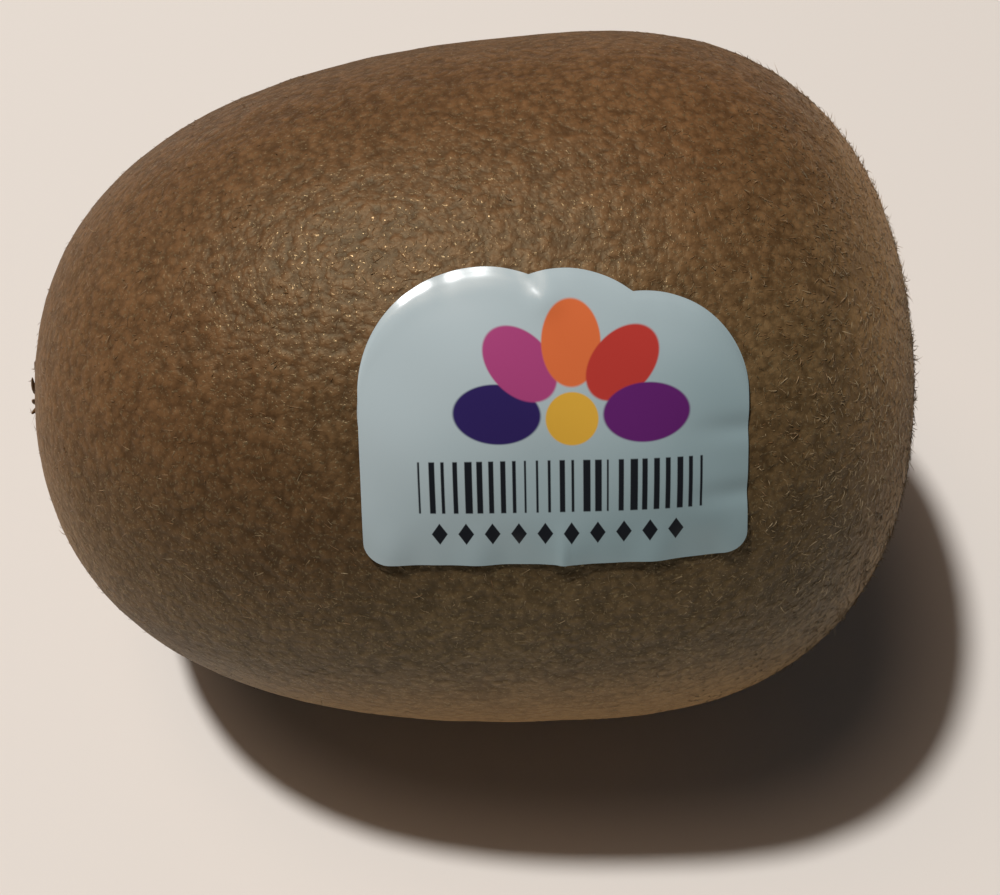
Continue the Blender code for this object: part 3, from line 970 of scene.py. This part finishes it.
class KIWI_OT_label(bpy.types.Operator):
    """Cuts the label from a flat sheet, ripples it and lays it on the skin"""

    bl_idname = "kiwi.label"
    bl_label = "Label"

    COLUMNS = 150
    ROWS = 110

    # The highest rise of each feature of the film, in ripple heights
    RIDGE = 0.4
    PRESSED_RIM = -1.0
    BUBBLE = 3.2
    FOLD = 0.8
    CREASE = 2.4
    HEM = 1.9
    DENT = -3.0
    BUCKLE = 1.7
    BUBBLE_PLACE = (-0.0005, 0.0164)
    BUBBLE_SPREAD = 0.0000008

    def execute(self, context):
        looks = context.scene.kiwi_label
        deselect_all()
        bpy.ops.mesh.primitive_grid_add(x_subdivisions=self.COLUMNS, y_subdivisions=self.ROWS, size=1.0)
        label = context.object
        label.name = "label_film"
        points = points_of(label.data)
        middle = (LABEL_LEFT + LABEL_RIGHT) / 2
        half = (LABEL_RIGHT - LABEL_LEFT) / 2
        # The columns crowd at both sides, where the label's edge is round
        along = middle + half * np.sin(np.pi * points[:, 0])
        low, high = label_bottom(along), label_top(along)
        up = low + (high - low) * (points[:, 1] + 0.5)
        self.map_flat(label.data, along, up)
        x = LABEL_ALONG + along * math.cos(LABEL_TILT) - up * math.sin(LABEL_TILT)
        arc = along * math.sin(LABEL_TILT) + up * math.cos(LABEL_TILT)
        places, normals = skin_at(x, LABEL_ANGLE + arc / LABEL_ROUND)
        lift = looks.lift + looks.ripple * self.ripples(along, up)
        set_points(label.data, from_core(places + normals * lift[:, None]))
        apply_modifier(label, "SOLIDIFY", thickness=looks.film_depth, offset=-1.0)
        bpy.ops.object.shade_smooth_by_angle(angle=math.radians(40))
        wear(label, label_finish(looks), ("label",))
        return {"FINISHED"}

    def map_flat(self, mesh, along, up):
        """Gives the film a UV map that is the flat label."""
        while mesh.uv_layers:
            mesh.uv_layers.remove(mesh.uv_layers[0])
        mapped = mesh.uv_layers.new(name="flat")
        corners = np.empty(len(mesh.loops), dtype=np.int32)
        mesh.loops.foreach_get("vertex_index", corners)
        flat = np.stack(((along - LABEL_LEFT) / (LABEL_RIGHT - LABEL_LEFT), up / LABEL_HEIGHT), 1)
        mapped.uv.foreach_set("vector", flat[corners].ravel())

    def ripples(self, along, up):
        """The film's rise, in ripple heights.

        The upper rim is pressed down behind a ridge with small waves, a bubble and a slanting fold.
        The lower edge is a wavy hem with a crease. The right side has two dents, and the film buckles.
        """
        edge = label_top(along) - up
        upper = ramp(up, 0.010, 0.004)
        ridge = self.RIDGE * upper * hump(edge, 0.0013, 0.0007)
        pressed = self.PRESSED_RIM * upper * (1 - ramp(edge, 0.0, 0.0007))
        bubble_along, bubble_up = self.BUBBLE_PLACE
        off_bubble = (along - bubble_along) ** 2 + (up - bubble_up) ** 2
        bubble = self.BUBBLE * np.exp(-off_bubble / self.BUBBLE_SPREAD)
        top = 1 - ramp(edge, 0.0, 0.0024)
        fine_waves = np.sin(along * 2700 + np.sin(along * 900) + up * 900)
        waves = top * (0.35 * np.sin(along * 1450 + 0.9) + 0.2 * fine_waves)
        off_fold = along + 0.0020 - 0.5 * (0.0186 - up)
        fold = self.FOLD * hump(off_fold, 0.0, 0.0004) * ramp(up, 0.013, 0.004)
        crease = self.CREASE * hump(along, 0.0003, 0.0003) * (1 - ramp(up, 0.0, 0.0036))
        low = 1 - ramp(up, 0.0, 0.0034)
        hem = low * (self.HEM * np.sin(along * 1120 + 1.0) + 0.6 * np.sin(along * 2300 + 0.3))
        right = ramp(along, 0.0070, 0.0045)
        dents = self.DENT * right * (hump(up, 0.0085, 0.0008) + hump(up, 0.0042, 0.0008))
        buckle = self.BUCKLE * np.sin(along * 520 + up * 260 + 0.4) * np.sin(up * 560 + 1.2)
        return ridge + pressed + bubble + waves + fold + crease + hem + dents + buckle


def floor_finish(looks):
    """Plain pale board."""
    made = Finish("pale_board", Specular_IOR_Level=0.2, Roughness=0.7)
    place = made.add("ShaderNodeTexCoord", output=3)
    tint = made.noise(place, 0.15)
    darker = tuple(0.97 * part for part in looks.floor)
    return made.finish(Base_Color=made.blend(tint, looks.floor, darker))


class KIWI_OT_stage(bpy.types.Operator):
    """Lays the floor and sets up the lamp, the dim room and the camera"""

    bl_idname = "kiwi.stage"
    bl_label = "Stage"

    def execute(self, context):
        looks = context.scene.kiwi_stage
        deselect_all()
        bpy.ops.mesh.primitive_plane_add(size=2.0)
        floor = context.object
        floor.name = "floor"
        floor.data.materials.append(floor_finish(looks))
        self.add_lamp(looks, looks.lamp_width, looks.lamp_power, (1.0, 1.0, 1.0))
        self.add_lamp(looks, looks.glow_width, looks.glow_power, looks.glow)
        world = bpy.data.worlds.new("dim_room")
        world.use_nodes = True
        world.node_tree.nodes["Background"].inputs["Color"].default_value = (*looks.room, 1.0)
        context.scene.world = world
        level_to_drop = math.pi / 2 - looks.camera_drop
        bpy.ops.object.camera_add(location=looks.camera_spot, rotation=(level_to_drop, 0.0, 0.0))
        camera = context.object
        camera.data.lens = looks.lens
        camera.data.sensor_width = 36.0
        camera.data.clip_start = 0.001
        context.scene.camera = camera
        context.scene.view_settings.view_transform = "Standard"
        return {"FINISHED"}

    def add_lamp(self, looks, width, power, color):
        """A round lamp that faces the fruit."""
        way = Vector(looks.lamp_way).normalized()
        turn = way.to_track_quat("Z", "Y").to_euler()
        bpy.ops.object.light_add(type="AREA", location=way * looks.lamp_distance, rotation=turn)
        lamp = bpy.context.object.data
        lamp.shape = "DISK"
        lamp.size = width
        lamp.energy = power
        lamp.color = color


OPERATORS = (KIWI_OT_skin, KIWI_OT_dried_flower, KIWI_OT_fuzz, KIWI_OT_label, KIWI_OT_stage)


class KIWI_PT_sidebar(bpy.types.Panel):
    """Lists the pieces and their looks."""

    bl_idname = "KIWI_PT_sidebar"
    bl_label = "Kiwi fruit"
    bl_space_type = "VIEW_3D"
    bl_region_type = "UI"
    bl_category = "Kiwi"

    def draw(self, context):
        for operator in OPERATORS:
            self.layout.operator(operator.bl_idname)
        for name in LOOKS:
            looks = getattr(context.scene, name)
            box = self.layout.box()
            for setting in looks.bl_rna.properties:
                if setting.identifier not in ("name", "rna_type"):
                    box.prop(looks, setting.identifier)


CLASSES = (*LOOKS.values(), *OPERATORS, KIWI_PT_sidebar)


def register():
    for made in CLASSES:
        bpy.utils.register_class(made)
    for name, looks in LOOKS.items():
        setattr(bpy.types.Scene, name, PointerProperty(type=looks))


def unregister():
    for name in LOOKS:
        delattr(bpy.types.Scene, name)
    for made in reversed(CLASSES):
        bpy.utils.unregister_class(made)


def main():
    register()
    bpy.ops.kiwi.skin()
    bpy.ops.kiwi.dried_flower()
    bpy.ops.kiwi.fuzz()
    bpy.ops.kiwi.label()
    bpy.ops.kiwi.stage()


if __name__ == "__main__":
    main()
